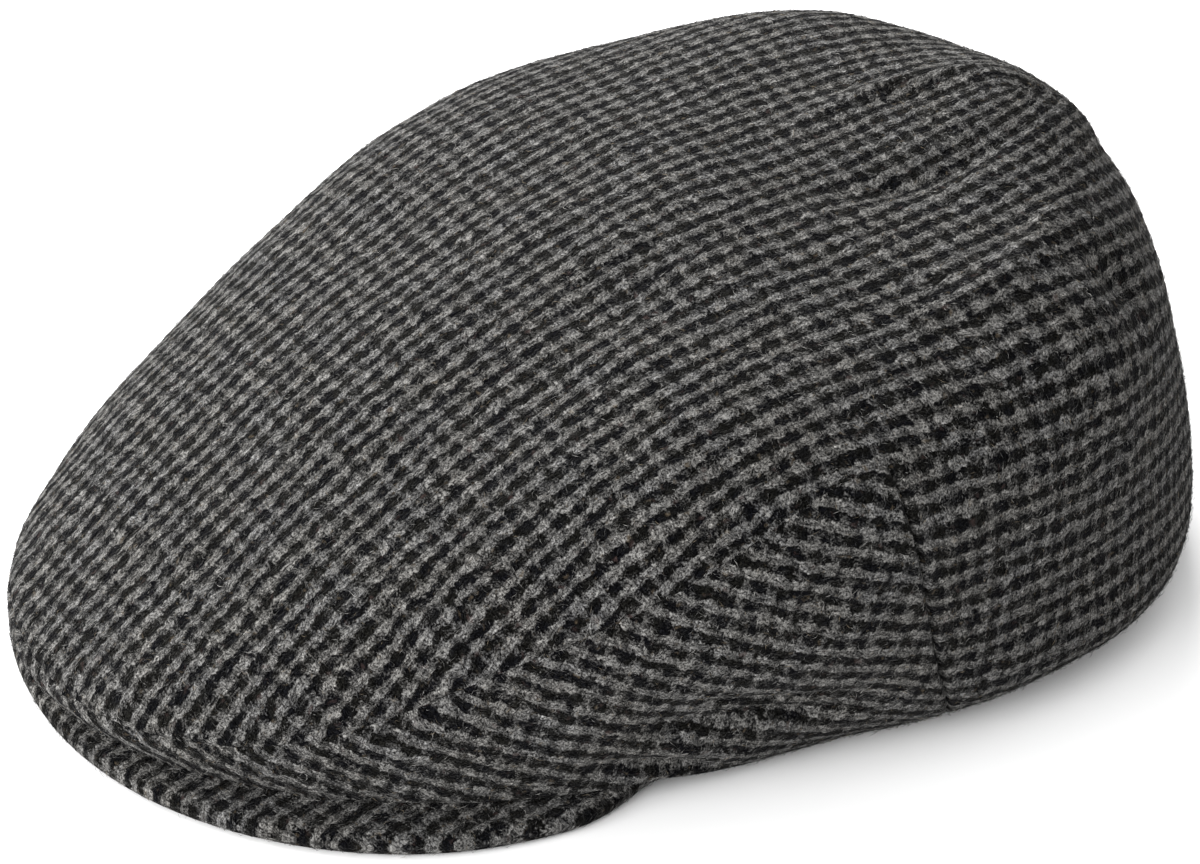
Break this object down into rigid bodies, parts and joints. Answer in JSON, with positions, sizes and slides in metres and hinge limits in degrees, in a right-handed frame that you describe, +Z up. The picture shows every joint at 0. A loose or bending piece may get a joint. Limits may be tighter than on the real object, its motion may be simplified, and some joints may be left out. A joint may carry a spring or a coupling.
{
  "type": "flat cap",
  "caption": "Flat cap of checked wool tweed: a rounded crown with a seamed top panel and side panels, lying low over a short covered peak.",
  "frame": {"origin": "bottom centre of the bounding box, on the plane that the rim and the peak rest on", "axes": "+Z up through the crown, -Y towards the peak, +X towards the wearer's left"},
  "size_m": [0.1994, 0.269, 0.1022],
  "materials": {
    "tweed": "brushed wool tweed in a small near-black and grey check",
    "peak_tweed": "the same wool tweed drawn tight over a stiff board"
  },
  "bodies": {
    "root": {"crown_top": "tweed", "side_panel_left": "tweed", "side_panel_right": "tweed", "peak": "peak_tweed"}
  },
  "joints": []
}
